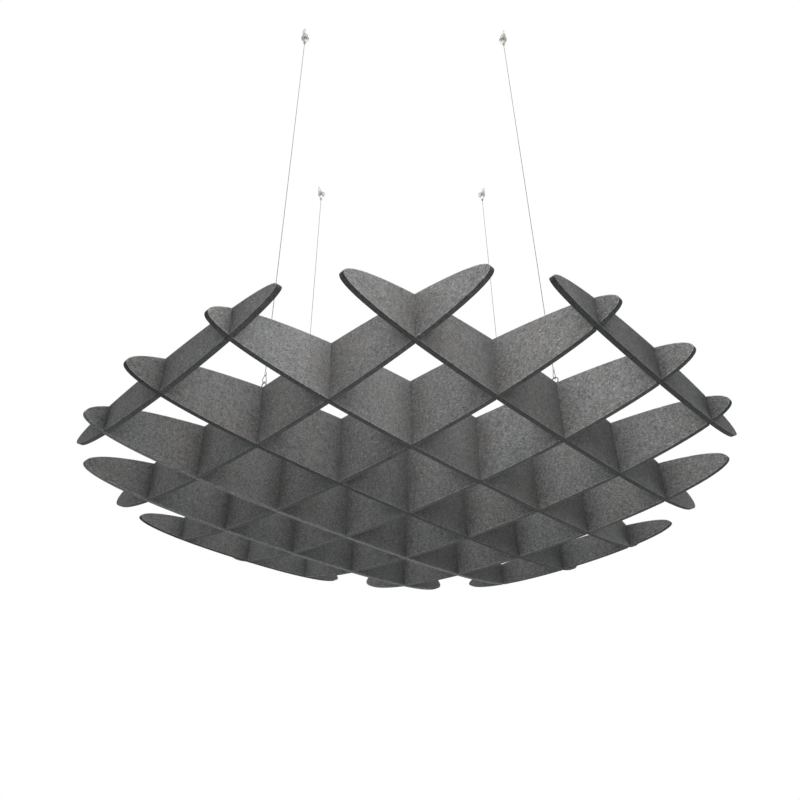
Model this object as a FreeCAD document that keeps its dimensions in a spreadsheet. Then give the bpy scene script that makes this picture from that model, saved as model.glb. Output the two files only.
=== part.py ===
"""Lattice ceiling baffle: two families of felt blades, half-lapped at right angles and hung on four steel wires.

Row frame, in millimetres: +Z is up, X runs along the A blades and Y along the B blades. The origin is the centre
of the four ceiling fixings, in the plane of the ceiling, so that the whole baffle hangs below Z = 0.
"""

import FreeCAD
import Part
import math
import os

# Driving dimensions: alias, value, what it measures
SIZES = [
    ("cell_pitch", 240.0, "distance between neighbouring blades of one family, centre to centre"),
    ("rim_overhang", 84.0, "how far the round plan reaches past the outermost blade's centre line"),
    ("plan_power", 2.12, "roundness of the plan: 2 is a circle, and more is fuller between the axes"),
    ("felt_thick", 12.0, "thickness of the felt board"),
    ("belly_drop", 88.0, "depth of the middle blade below the line through its two tips"),
    ("crown_rise", 98.0, "height of the middle blade above the line through its two tips"),
    ("saddle_rise", 19.0, "height by which the rim is lifted at the B tips and lowered at the A tips"),
    ("slot_play", 0.3, "gap on each side of a blade in its slot, and at the slot's foot"),
    ("cut_overrun", 5.0, "how far a cutting tool runs past the face that it opens"),
    ("ceiling_drop", 1560.0, "distance from the ceiling down to the tips of the blades"),
    ("hang_cells", 2.0, "number of cells from the centre to each wire"),
    ("fixing_hole_radius", 2.6, "screw hole in the ceiling base"),
    ("base_thick", 4.0, "flange of the ceiling base"),
    ("base_radius", 14.0, "flange and cup, outside"),
    ("boss_radius", 12.0, "threaded boss of the base, outside"),
    ("boss_wall", 2.5, "wall of the threaded boss"),
    ("boss_depth", 8.0, "length of the threaded boss below the flange"),
    ("thread_play", 0.2, "gap between the boss and the cup"),
    ("cup_depth", 34.0, "height of the cup below the flange"),
    ("cup_floor", 3.0, "thickness of the cup's floor, which is the seat of the ball"),
    ("seat_depth", 5.5, "height of the ball's centre above the underside of the cup"),
    ("seat_play", 0.2, "gap between the ball and its seat"),
    ("ball_head_radius", 7.0, "ball head of the wire gripper"),
    ("neck_radius", 3.8, "neck between the ball and the barrel"),
    ("neck_length", 8.5, "distance from the ball's centre to the top of the barrel"),
    ("barrel_radius", 5.5, "barrel of the gripper, outside"),
    ("barrel_length", 22.0, "barrel of the gripper"),
    ("barrel_roof", 2.5, "solid top of the barrel above the spring"),
    ("chamber_radius", 3.2, "spring chamber inside the barrel"),
    ("chamber_length", 8.0, "spring chamber inside the barrel"),
    ("cone_length", 5.0, "length of the cone that the grip balls wedge in"),
    ("cone_foot_radius", 2.5, "narrow lower end of the cone"),
    ("stem_radius", 1.85, "release plunger's stem"),
    ("stem_play", 0.15, "gap between the stem and the barrel"),
    ("collar_radius", 2.35, "collar on top of the stem that keeps the plunger in"),
    ("collar_thick", 0.6, "collar on top of the stem"),
    ("button_radius", 4.0, "release button under the barrel"),
    ("button_height", 3.5, "release button under the barrel"),
    ("button_gap", 2.3, "distance from the button up to the barrel when the plunger is at rest"),
    ("grip_ball_radius", 0.95, "each of the three balls that hold the wire"),
    ("grip_play", 0.05, "gap between a grip ball and the wire"),
    ("grip_lift", 0.1, "gap between a grip ball and the pieces above and below it"),
    ("spring_radius", 2.1, "mean radius of the gripper's spring"),
    ("spring_wire_radius", 0.25, "wire of the gripper's spring"),
    ("spring_turns", 6.0, "turns of the gripper's spring"),
    ("wire_radius", 0.75, "steel suspension wire"),
    ("wire_bore_play", 0.35, "gap between the suspension wire and the bores it runs through"),
    ("tail_rise", 14.0, "how far the wire's cut end stands above the ball's centre"),
    ("loop_radius", 4.75, "centre line of the loop at the wire's lower end"),
    ("loop_height", 19.0, "distance from the eye's bar up to the ferrule"),
    ("loop_bend_radius", 8.0, "bend of each leg of the loop under the ferrule"),
    ("bar_gap", 0.8, "gap between the loop and the underside of the eye's bar"),
    ("strand_gap", 0.4, "gap between the two strands inside the ferrule"),
    ("strand_play", 0.05, "gap between a strand and the ferrule"),
    ("ferrule_radius", 1.9, "half the depth of the crimped ferrule"),
    ("ferrule_length", 9.0, "crimped ferrule"),
    ("wire_end_length", 2.5, "cut end of the wire above the ferrule"),
    ("eye_radius", 8.5, "centre line of the screw eye's ring"),
    ("eye_bar_radius", 1.5, "bar that the screw eye is bent from"),
    ("eye_plate_radius", 5.5, "round foot plate of the screw eye"),
    ("eye_plate_thick", 1.5, "round foot plate of the screw eye"),
    ("eye_seat_play", 0.3, "gap between the foot plate and the blade's top edge"),
    ("shank_radius", 2.0, "screw of the screw eye"),
    ("shank_length", 38.0, "screw of the screw eye, under its plate"),
    ("pilot_play", 0.1, "gap between the screw and its hole in the blade"),
]

OUTERMOST = 3  # blades of one family on each side of its middle blade
OUTLINE_SPANS = 48  # spans of the curve round one blade
GRIP_BALLS = 3
HANGERS = ((0, -1), (1, 0), (0, 1), (-1, 0))  # direction of each wire from the centre, in plan

doc = FreeCAD.newDocument("ceiling_baffle")
sheet = doc.addObject("Spreadsheet::Sheet", "size")
nodes = []


def fill_sheet():
    """Write each driving dimension to the sheet as a plain number with an alias."""
    for row, (alias, value, meaning) in enumerate(SIZES, start=1):
        sheet.set("A%d" % row, meaning)
        sheet.set("B%d" % row, repr(value))
        sheet.setAlias("B%d" % row, alias)
    doc.recompute()


def read(alias):
    """Return one size of the sheet as a number."""
    return float(sheet.get(alias))


def named(obj, label):
    """Give an object of the document its label and return it."""
    obj.Label = label
    return obj


def keep(obj, node):
    """Mark an object as a finished sub-part whose label names its file."""
    nodes.append(named(obj, node))
    return obj


def bind(obj, **expressions):
    """Bind properties of an object to expressions on the sheet."""
    for prop, expression in expressions.items():
        obj.setExpression(prop, expression)
    return obj


def place(obj, x="0", y="0", z="0"):
    """Bind the position of an object to expressions on the sheet."""
    for axis, expression in zip("xyz", (x, y, z)):
        obj.setExpression("Placement.Base." + axis, expression)
    return obj


def box(label, length, width, height, x, y, z):
    """Add a box with one corner at x, y, z."""
    obj = named(doc.addObject("Part::Box", "box"), label)
    return place(bind(obj, Length=length, Width=width, Height=height), x, y, z)


def cylinder(label, radius, height, x, y, z):
    """Add an upright cylinder whose foot is centred at x, y, z."""
    obj = named(doc.addObject("Part::Cylinder", "cylinder"), label)
    return place(bind(obj, Radius=radius, Height=height), x, y, z)


def cone(label, foot, head, height, x, y, z):
    """Add an upright cone with the radii foot and head, standing at x, y, z."""
    obj = named(doc.addObject("Part::Cone", "cone"), label)
    return place(bind(obj, Radius1=foot, Radius2=head, Height=height), x, y, z)


def sphere(label, radius, x, y, z):
    """Add a ball centred at x, y, z."""
    obj = named(doc.addObject("Part::Sphere", "sphere"), label)
    return place(bind(obj, Radius=radius), x, y, z)


def fuse(label, shapes):
    """Join shapes into one solid."""
    obj = named(doc.addObject("Part::MultiFuse", "fuse"), label)
    obj.Shapes = shapes
    return obj


def group(label, shapes):
    """Hold separate solids in one object."""
    obj = named(doc.addObject("Part::Compound", "group"), label)
    obj.Links = shapes
    return obj


def cut(label, base, tools):
    """Cut a list of tools out of a base."""
    obj = named(doc.addObject("Part::Cut", "cut"), label)
    obj.Base = base
    obj.Tool = tools[0] if len(tools) == 1 else group(label + " tools", tools)
    return obj


def plan_radius():
    """Radius along X and Y of the round plan that the tips of all the blades lie on."""
    return OUTERMOST * read("cell_pitch") + read("rim_overhang")


PLAN = "(%d * size.cell_pitch + size.rim_overhang)" % OUTERMOST


def fullness(i, j):
    """Expression: how full the lens is at a crossing, 1 at the centre and 0 at the rim."""
    cells = "(%d ^ size.plan_power + %d ^ size.plan_power)" % (abs(i), abs(j))
    return "sqrt(1 - %s * (size.cell_pitch / %s) ^ size.plan_power)" % (cells, PLAN)


def saddle(i, j):
    """Expression: lift of the saddle at the crossing j cells along X and i cells along Y."""
    return "size.saddle_rise * %d * size.cell_pitch ^ 2 / %s ^ 2" % (i * i - j * j, PLAN)


def lap_height(i, j):
    """Expression: height of the middle of a crossing, where its two slots meet."""
    half = "(size.crown_rise - size.belly_drop) / 2"
    return "%s * %s + %s - size.ceiling_drop" % (half, fullness(i, j), saddle(i, j))


def top_height(i, j):
    """Expression: height of the top edges at a crossing."""
    return "size.crown_rise * %s + %s - size.ceiling_drop" % (fullness(i, j), saddle(i, j))


def crossings():
    """Cells along Y and X of every place where an A blade meets a B blade."""
    reach = (plan_radius() + read("felt_thick") / 2) / read("cell_pitch")
    power = read("plan_power")
    cells = range(-OUTERMOST, OUTERMOST + 1)
    return [(i, j) for i in cells for j in cells if abs(i) ** power + abs(j) ** power < reach ** power]


def blade_outline(label, offset, family):
    """Closed curve round one blade: near-elliptic arcs above and below the tip line, bent by the saddle."""
    radius = plan_radius()
    power = read("plan_power")
    half_length = (radius ** power - abs(offset) ** power) ** (1 / power)
    share = (half_length / radius) ** (power / 2)
    side = offset - read("felt_thick") / 2
    points = []
    for k in range(OUTLINE_SPANS):
        angle = 2 * math.pi * k / OUTLINE_SPANS
        along = math.copysign(half_length * abs(math.cos(angle)) ** (2 / power), math.cos(angle))
        height = read("crown_rise") if math.sin(angle) > 0 else read("belly_drop")
        bend = offset ** 2 - along ** 2 if family == "a" else along ** 2 - offset ** 2
        z = height * share * math.sin(angle) + read("saddle_rise") * bend / radius ** 2 - read("ceiling_drop")
        points.append(FreeCAD.Vector(along, side, z) if family == "a" else FreeCAD.Vector(side, along, z))
    curve = Part.BSplineCurve()
    curve.interpolate(Points=points, PeriodicFlag=True)
    outline = named(doc.addObject("Part::Feature", "outline"), label + " outline")
    outline.Shape = Part.Wire([curve.toShape()])
    return outline


def slot_box(label, family, i, j):
    """Slot at one crossing: open at the top in an A blade, and at the bottom in a B blade."""
    wide = "size.felt_thick + 2 * size.slot_play"
    deep = "size.felt_thick + 2 * size.cut_overrun"
    tall = "(size.crown_rise + size.belly_drop) / 2 + size.cut_overrun"
    x = "%d * size.cell_pitch - (%s) / 2" % (j, wide if family == "a" else deep)
    y = "%d * size.cell_pitch - (%s) / 2" % (i, deep if family == "a" else wide)
    z = lap_height(i, j) if family == "a" else "%s + size.slot_play - (%s)" % (lap_height(i, j), tall)
    if family == "a":
        return box(label, wide, deep, tall, x, y, z)
    return box(label, deep, wide, tall, x, y, z)


def hanger_cell(dx, dy):
    """Cells along Y and X from the centre to one wire."""
    cells = round(read("hang_cells"))
    return dy * cells, dx * cells


def hanger_xy(dx, dy):
    """Expressions: where one wire hangs, in plan."""
    return "%d * size.hang_cells * size.cell_pitch" % dx, "%d * size.hang_cells * size.cell_pitch" % dy


def pilot_holes(row):
    """Holes for the screw eyes in the top edge of the B blade that stands row cells along X."""
    holes = []
    for dx, dy in HANGERS:
        i, j = hanger_cell(dx, dy)
        if j == row:
            x, y = hanger_xy(dx, dy)
            depth = "size.shank_length + 2 * size.cut_overrun"
            foot = "%s - size.shank_length - size.cut_overrun" % top_height(i, j)
            holes.append(cylinder("pilot hole", "size.shank_radius + size.pilot_play", depth, x, y, foot))
    return holes


def make_blades(family):
    """One family of blades, numbered across the baffle."""
    for cell in range(-OUTERMOST, OUTERMOST + 1):
        node = "blade_%s%d" % (family, cell + OUTERMOST + 1)
        outline = blade_outline(node, cell * read("cell_pitch"), family)
        board = named(doc.addObject("Part::Extrusion", "board"), node + " board")
        board.Base = outline
        board.DirMode = "Custom"
        board.Dir = FreeCAD.Vector(0, 1, 0) if family == "a" else FreeCAD.Vector(1, 0, 0)
        board.Solid = True
        bind(board, LengthFwd="size.felt_thick")
        own = [(i, j) for i, j in crossings() if (i if family == "a" else j) == cell]
        tools = [slot_box("%s slot %d" % (node, n), family, i, j) for n, (i, j) in enumerate(own, start=1)]
        if family == "b":
            tools += pilot_holes(cell)
        keep(cut(node, board, tools), node)


PIVOT_Z = "(size.seat_depth - size.base_thick - size.cup_depth)"
BARREL_TOP = "(%s - size.neck_length)" % PIVOT_Z
BARREL_FOOT = "(%s - size.barrel_length)" % BARREL_TOP
CHAMBER_TOP = "(%s - size.barrel_roof)" % BARREL_TOP
CONE_TOP = "(%s - size.chamber_length)" % CHAMBER_TOP
CONE_FOOT = "(%s - size.cone_length)" % CONE_TOP
GRIP_FOOT = "(%s + size.collar_thick + size.grip_lift)" % CONE_FOOT
GRIP_TOP = "(%s + 2 * size.grip_ball_radius)" % GRIP_FOOT
WIRE_BORE = "size.wire_radius + size.wire_bore_play"


def make_ceiling_base(number, x, y):
    """Flange with one screw hole and a threaded boss, fixed to the ceiling."""
    flange = cylinder("flange", "size.base_radius", "size.base_thick", x, y, "-size.base_thick")
    boss_foot = "-size.base_thick - size.boss_depth"
    boss = cylinder("boss", "size.boss_radius", "size.boss_depth", x, y, boss_foot)
    bore_radius = "size.boss_radius - size.boss_wall"
    bore = cylinder("boss bore", bore_radius, "size.boss_depth + size.cut_overrun", x, y,
                    boss_foot + " - size.cut_overrun")
    hole = cylinder("screw hole", "size.fixing_hole_radius", "size.base_thick + 2 * size.cut_overrun", x, y,
                    "-size.base_thick - size.cut_overrun")
    node = "ceiling_base_%d" % number
    keep(cut(node, fuse("base body", [flange, boss]), [bore, hole]), node)


def make_cup(number, x, y):
    """Cup that screws over the boss, with the ball seat in its floor."""
    foot = "-size.base_thick - size.cup_depth"
    shell = cylinder("cup shell", "size.base_radius", "size.cup_depth", x, y, foot)
    room = cylinder("cup room", "size.boss_radius + size.thread_play", "size.cup_depth", x, y,
                    foot + " + size.cup_floor")
    seat = sphere("ball seat", "size.ball_head_radius + size.seat_play", x, y, PIVOT_Z)
    node = "ceiling_cup_%d" % number
    keep(cut(node, shell, [room, seat]), node)


def make_gripper(number, x, y):
    """Ball head and barrel of the wire gripper, bored for the wire, spring, balls and plunger."""
    head = sphere("ball head", "size.ball_head_radius", x, y, PIVOT_Z)
    neck = cylinder("neck", "size.neck_radius", "size.neck_length + size.barrel_roof", x, y, CHAMBER_TOP)
    barrel = cylinder("barrel", "size.barrel_radius", "size.barrel_length", x, y, BARREL_FOOT)
    bore_height = "size.ball_head_radius + size.neck_length + size.barrel_roof + 2 * size.cut_overrun"
    bore = cylinder("wire bore", WIRE_BORE, bore_height, x, y, CHAMBER_TOP + " - size.cut_overrun")
    chamber = cylinder("spring chamber", "size.chamber_radius", "size.chamber_length", x, y, CONE_TOP)
    wedge = cone("grip cone", "size.cone_foot_radius", "size.chamber_radius", "size.cone_length", x, y, CONE_FOOT)
    stem_bore = cylinder("stem bore", "size.stem_radius + size.stem_play", "size.barrel_length", x, y,
                         CONE_FOOT + " - size.barrel_length")
    inside = fuse("gripper inside", [bore, chamber, wedge, stem_bore])
    node = "gripper_%d" % number
    keep(cut(node, fuse("gripper body", [head, neck, barrel]), [inside]), node)


def make_plunger(number, x, y):
    """Release plunger: button, stem and the collar that keeps it in the barrel."""
    button_top = "%s - size.button_gap" % BARREL_FOOT
    stem_height = "%s - (%s)" % (CONE_FOOT, button_top)
    collar = cylinder("collar", "size.collar_radius", "size.collar_thick", x, y, CONE_FOOT)
    stem = cylinder("stem", "size.stem_radius", stem_height, x, y, button_top)
    button = cylinder("button", "size.button_radius", "size.button_height", x, y,
                      button_top + " - size.button_height")
    bore = cylinder("plunger bore", WIRE_BORE, "%s + size.button_height + 2 * size.cut_overrun" % stem_height,
                    x, y, button_top + " - size.button_height - size.cut_overrun")
    node = "release_plunger_%d" % number
    keep(cut(node, fuse("plunger body", [collar, stem, button]), [bore]), node)


def make_grip_balls(number, x, y):
    """Three balls round the wire, which wedge in the cone under load."""
    reach = "(size.wire_radius + size.grip_play + size.grip_ball_radius)"
    balls = []
    for k in range(GRIP_BALLS):
        angle = 2 * math.pi * k / GRIP_BALLS
        ball_x = "%s + %s * %r" % (x, reach, math.cos(angle))
        ball_y = "%s + %s * %r" % (y, reach, math.sin(angle))
        balls.append(sphere("grip ball %d" % (k + 1), "size.grip_ball_radius", ball_x, ball_y,
                            GRIP_FOOT + " + size.grip_ball_radius"))
    node = "grip_balls_%d" % number
    keep(group(node, balls), node)


def make_spring(number, x, y):
    """Coil spring between the barrel's roof and the grip balls."""
    foot = "%s + size.grip_lift + size.spring_wire_radius" % GRIP_TOP
    height = "%s - size.spring_wire_radius - size.grip_lift - (%s)" % (CHAMBER_TOP, foot)
    spine = named(doc.addObject("Part::Helix", "helix"), "spring line %d" % number)
    bind(spine, Height=height, Radius="size.spring_radius", Pitch="(%s) / size.spring_turns" % height)
    section = named(doc.addObject("Part::Circle", "circle"), "spring section %d" % number)
    bind(section, Radius="size.spring_wire_radius")
    section.Placement.Rotation = FreeCAD.Rotation(FreeCAD.Vector(1, 0, 0), 90)
    place(section, x="size.spring_radius")
    coil = named(doc.addObject("Part::Sweep", "sweep"), "spring coil %d" % number)
    coil.Sections = [section]
    coil.Spine = spine
    coil.Solid = True
    coil.Frenet = True
    place(coil, x, y, foot)
    keep(coil, "gripper_spring_%d" % number)


def bar_height(i, j):
    """Height of the centre of the screw eye's upper bar, which the wire's loop hangs on."""
    cell_share = read("cell_pitch") / plan_radius()
    power = read("plan_power")
    full = math.sqrt(1 - (abs(i) ** power + abs(j) ** power) * cell_share ** power)
    lift = read("saddle_rise") * (i * i - j * j) * cell_share ** 2
    top = read("crown_rise") * full + lift - read("ceiling_drop")
    return top + read("eye_seat_play") + read("eye_plate_thick") + 2 * read("eye_radius")


def make_screw_eye(number, dx, dy):
    """Screw eye in the top edge of a B blade, its ring standing in the YZ plane."""
    i, j = hanger_cell(dx, dy)
    x, y = hanger_xy(dx, dy)
    plate_foot = "%s + size.eye_seat_play" % top_height(i, j)
    plate = cylinder("eye plate", "size.eye_plate_radius", "size.eye_plate_thick", x, y, plate_foot)
    shank = cylinder("eye screw", "size.shank_radius", "size.shank_length + size.eye_plate_thick / 2", x, y,
                     plate_foot + " - size.shank_length")
    ring = named(doc.addObject("Part::Torus", "torus"), "eye ring %d" % number)
    bind(ring, Radius1="size.eye_radius", Radius2="size.eye_bar_radius")
    ring.Placement.Rotation = FreeCAD.Rotation(FreeCAD.Vector(0, 1, 0), 90)
    place(ring, x, y, plate_foot + " + size.eye_plate_thick + size.eye_radius")
    node = "screw_eye_%d" % number
    keep(fuse(node, [plate, shank, ring]), node)


def tangent_point(centre, radius, outer, side):
    """Where the straight line from an outer point meets a circle in the XZ plane; side is 1 or -1."""
    reach = outer.sub(centre)
    angle = math.atan2(reach.z, reach.x) + side * math.acos(radius / reach.Length)
    return centre.add(FreeCAD.Vector(radius * math.cos(angle), 0, radius * math.sin(angle)))


def bend_edges(start, corner, end, radius):
    """Straight run from start towards a corner and the arc that turns it towards end."""
    before = start.sub(corner).normalize()
    after = end.sub(corner).normalize()
    half = before.getAngle(after) / 2
    trim = radius / math.tan(half)
    first = corner.add(before * trim)
    last = corner.add(after * trim)
    inward = before.add(after).normalize()
    middle = corner.add(inward * (radius / math.sin(half) - radius))
    return [Part.LineSegment(start, first).toShape(), Part.Arc(first, middle, last).toShape()], last


def wire_path(x, y, bar_z):
    """Centre line of one wire: plumb from its cut end to the ferrule, then round the eye's bar and back."""
    strand = 2 * read("wire_radius") + read("strand_gap")
    pivot = read("seat_depth") - read("base_thick") - read("cup_depth")
    neck = bar_z + read("loop_height")
    drop = read("eye_bar_radius") + read("bar_gap") + read("wire_radius")
    centre = FreeCAD.Vector(x, y, bar_z - drop + read("loop_radius"))
    top = FreeCAD.Vector(x, y, pivot + read("tail_rise"))
    down = FreeCAD.Vector(x, y, neck)
    back = FreeCAD.Vector(x + strand, y, neck)
    end = back.add(FreeCAD.Vector(0, 0, read("ferrule_length") + read("wire_end_length")))
    left = tangent_point(centre, read("loop_radius"), down, 1)
    right = tangent_point(centre, read("loop_radius"), back, -1)
    low = centre.sub(FreeCAD.Vector(0, 0, read("loop_radius")))
    first, leg = bend_edges(top, down, left, read("loop_bend_radius"))
    last, tail = bend_edges(end, back, right, read("loop_bend_radius"))
    edges = first + [Part.LineSegment(leg, left).toShape(), Part.Arc(left, low, right).toShape()]
    edges += [Part.LineSegment(right, tail).toShape()] + last[::-1]
    return Part.Wire(Part.__sortEdges__(edges))


def make_wire(number, dx, dy):
    """Steel suspension wire with its lower loop, one unbroken tube."""
    i, j = hanger_cell(dx, dy)
    x = dx * read("hang_cells") * read("cell_pitch")
    y = dy * read("hang_cells") * read("cell_pitch")
    path = wire_path(x, y, bar_height(i, j))
    start = path.OrderedVertexes[0].Point
    circle = Part.Circle(start, FreeCAD.Vector(0, 0, 1), read("wire_radius"))
    section = Part.Wire([circle.toShape()])
    tube = path.makePipeShell([section], True, False)
    wire = doc.addObject("Part::Feature", "wire")
    wire.Shape = tube
    expected = math.pi * read("wire_radius") ** 2 * path.Length
    print("wire %d: length %.1f mm, volume against section times length %.5f"
          % (number, path.Length, tube.Volume / expected))
    keep(wire, "hanging_wire_%d" % number)


def make_ferrule(number, dx, dy):
    """Oval crimped sleeve round the wire and its returning end."""
    i, j = hanger_cell(dx, dy)
    x, y = hanger_xy(dx, dy)
    foot = "%s + size.eye_seat_play + size.eye_plate_thick + 2 * size.eye_radius + size.loop_height" % top_height(i, j)
    strand = "(2 * size.wire_radius + size.strand_gap)"
    back_x = "%s + %s" % (x, strand)
    sides = [cylinder("ferrule side", "size.ferrule_radius", "size.ferrule_length", side, y, foot)
             for side in (x, back_x)]
    web = box("ferrule web", strand, "2 * size.ferrule_radius", "size.ferrule_length", x,
              "%s - size.ferrule_radius" % y, foot)
    bores = [cylinder("strand bore", "size.wire_radius + size.strand_play",
                      "size.ferrule_length + 2 * size.cut_overrun", side, y, foot + " - size.cut_overrun")
             for side in (x, back_x)]
    node = "wire_ferrule_%d" % number
    keep(cut(node, fuse("ferrule body", sides + [web]), bores), node)


def make_hangers():
    """Four hangers: ceiling base, cup, gripper with its inner pieces, wire, ferrule and screw eye."""
    for number, (dx, dy) in enumerate(HANGERS, start=1):
        x, y = hanger_xy(dx, dy)
        make_ceiling_base(number, x, y)
        make_cup(number, x, y)
        make_gripper(number, x, y)
        make_plunger(number, x, y)
        make_grip_balls(number, x, y)
        make_spring(number, x, y)
        make_wire(number, dx, dy)
        make_ferrule(number, dx, dy)
        make_screw_eye(number, dx, dy)


def check_document():
    """Stop if any object failed, or if any sub-part is empty or not valid."""
    failed = [obj.Label for obj in doc.Objects if "Invalid" in obj.State or "Error" in obj.State]
    if failed:
        raise RuntimeError("failed objects: " + ", ".join(failed))
    for obj in nodes:
        if obj.Shape.isNull() or not obj.Shape.isValid() or not obj.Shape.Solids:
            raise RuntimeError("bad shape: " + obj.Label)


def write_parts():
    """Write each sub-part to its own file and print its measures."""
    os.makedirs("parts", exist_ok=True)
    for obj in nodes:
        obj.Shape.exportStep(os.path.join("parts", obj.Label + ".step"))
        print("%-20s solids %d, volume %.1f mm3" % (obj.Label, len(obj.Shape.Solids), obj.Shape.Volume))


fill_sheet()
make_blades("a")
make_blades("b")
make_hangers()
doc.recompute()
check_document()
write_parts()
print("plan radius %.1f mm, %d nodes" % (plan_radius(), len(nodes)))
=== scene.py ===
"""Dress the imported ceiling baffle: felt blades, hanging wires, screw eyes, wire grippers and ceiling cups.

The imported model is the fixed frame. Every length here is in metres and in the row frame: +Z is up, X runs
along the A blades, Y runs along the B blades, and the origin lies in the plane of the ceiling.
"""

from __future__ import annotations

import logging
import math
from dataclasses import dataclass
from enum import Enum
from typing import Iterator, Sequence

import bmesh
import bpy
from bpy.types import ID, Material, Node, NodeSocket as Socket, NodeTree, Object, World
from mathutils import Matrix, Vector

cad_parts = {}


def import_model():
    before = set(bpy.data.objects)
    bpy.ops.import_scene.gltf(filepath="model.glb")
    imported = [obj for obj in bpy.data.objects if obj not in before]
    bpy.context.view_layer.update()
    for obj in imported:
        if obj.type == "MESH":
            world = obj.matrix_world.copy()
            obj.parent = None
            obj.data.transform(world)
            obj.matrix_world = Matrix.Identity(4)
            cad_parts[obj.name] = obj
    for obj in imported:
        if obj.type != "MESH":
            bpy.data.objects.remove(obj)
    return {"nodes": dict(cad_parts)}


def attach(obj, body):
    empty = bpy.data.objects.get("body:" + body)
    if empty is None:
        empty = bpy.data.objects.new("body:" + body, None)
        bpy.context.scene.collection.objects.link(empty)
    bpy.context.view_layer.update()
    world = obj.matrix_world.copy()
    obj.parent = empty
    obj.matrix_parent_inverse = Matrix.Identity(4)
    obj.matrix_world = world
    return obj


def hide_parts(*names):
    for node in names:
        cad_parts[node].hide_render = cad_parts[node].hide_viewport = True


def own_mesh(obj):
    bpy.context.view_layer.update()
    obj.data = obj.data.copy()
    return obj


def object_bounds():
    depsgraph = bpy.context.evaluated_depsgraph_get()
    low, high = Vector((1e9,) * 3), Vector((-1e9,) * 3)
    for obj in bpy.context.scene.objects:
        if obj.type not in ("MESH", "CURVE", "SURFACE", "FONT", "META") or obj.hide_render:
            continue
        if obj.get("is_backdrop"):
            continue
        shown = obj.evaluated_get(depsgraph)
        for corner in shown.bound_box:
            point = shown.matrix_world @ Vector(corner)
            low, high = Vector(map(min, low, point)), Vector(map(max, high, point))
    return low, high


LOG = logging.getLogger("ceiling_baffle")
FULL_TURN = 2.0 * math.pi
MID_NOISE = 0.5

Point2 = tuple[float, float]
Point3 = tuple[float, float, float]
Colour = tuple[float, float, float]

WHITE: Colour = (1.0, 1.0, 1.0)
BLACK: Colour = (0.0, 0.0, 0.0)


class Family(Enum):
    """Direction that a blade runs in."""

    A = "a"
    B = "b"


class PaintedTone(Enum):
    """Painted light and shade on whole blades: the felt is copied lighter or darker by how each blade is
    lit.
    """

    PALE = 1.10
    MIDDLE = 1.0
    DEEP = 0.90


class Turning(Enum):
    """How a turned profile is modulated round its axis."""

    PLAIN = "plain"
    FLUTED = "fluted"
    THREADED = "threaded"


# Node graphs


class Graph:
    """Small helper that adds and links the nodes of one material, world or node group."""

    def __init__(self, tree: NodeTree) -> None:
        """Keep the tree to fill."""
        self.tree = tree

    def add(self, kind: str, settings: dict[str, object] | None = None, **inputs: object) -> Node:
        """Add a node and set or link its inputs.

        Args:
            kind: The node's type, such as ShaderNodeMath.
            settings: Properties of the node itself.
            **inputs: Inputs by name, with spaces as underscores, or _0, _1, ... by place.

        Returns:
            The new node.
        """
        node = self.tree.nodes.new(kind)
        for name, value in (settings or {}).items():
            setattr(node, name, value)
        for name, value in inputs.items():
            place = name[1:]
            self.feed(node.inputs[int(place) if place.isdigit() else name.replace("_", " ")], value)
        return node

    def feed(self, socket: Socket, value: object) -> None:
        """Link an input to another socket, or set its value.

        Args:
            socket: The input to feed.
            value: A socket, a number, or a tuple.
        """
        if isinstance(value, Socket):
            self.tree.links.new(value, socket)
        else:
            socket.default_value = value

    def math(self, operation: str, *values: object) -> Socket:
        """Return the result of a Math node with these inputs."""
        inputs = {"_%d" % place: value for place, value in enumerate(values)}
        return self.add("ShaderNodeMath", {"operation": operation}, **inputs).outputs[0]

    def blend(self, share: object, first: object, second: object, mode: str = "MIX") -> Socket:
        """Return two colours mixed by the share of the second."""
        settings = {"data_type": "RGBA", "blend_type": mode}
        return self.add("ShaderNodeMix", settings, _0=share, _6=first, _7=second).outputs[2]

    def span(self, value: object, low: float, high: float, to_low: float = 0.0,
             to_high: float = 1.0) -> Socket:
        """Return a value mapped softly from one span to another, clamped."""
        return self.add("ShaderNodeMapRange", {"interpolation_type": "SMOOTHSTEP"}, _0=value, _1=low,
                        _2=high, _3=to_low, _4=to_high).outputs[0]

    def noise(self, place: object, scale: object, detail: float, roughness: float = 0.5,
              distortion: float = 0.0) -> Socket:
        """Return a noise by its cells per metre, its octaves, their roughness and how it bends itself."""
        return self.add("ShaderNodeTexNoise", {"normalize": True}, Vector=place, Scale=scale, Detail=detail,
                        Roughness=roughness, Distortion=distortion).outputs["Fac"]

    def scaled(self, colour: object, share: object) -> Socket:
        """Return a colour times a number."""
        return self.add("ShaderNodeVectorMath", {"operation": "SCALE"}, _0=colour, Scale=share).outputs[0]

    def place(self) -> Socket:
        """Return the shaded point in the object's own coordinates."""
        return self.add("ShaderNodeTexCoord").outputs["Object"]

    def seen(self) -> Socket:
        """Return 1 for a ray that shows what it meets, and 0 for one that only carries light."""
        path = self.add("ShaderNodeLightPath").outputs
        return self.math("MAXIMUM", path["Is Camera Ray"],
                         self.math("MAXIMUM", path["Is Glossy Ray"], path["Is Transmission Ray"]))


def emptied(owner: Material | World) -> Graph:
    """Switch a material or world to nodes and empty them.

    Args:
        owner: The material or world.

    Returns:
        Its graph.
    """
    owner.use_nodes = True
    owner.node_tree.nodes.clear()
    return Graph(owner.node_tree)


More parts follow.
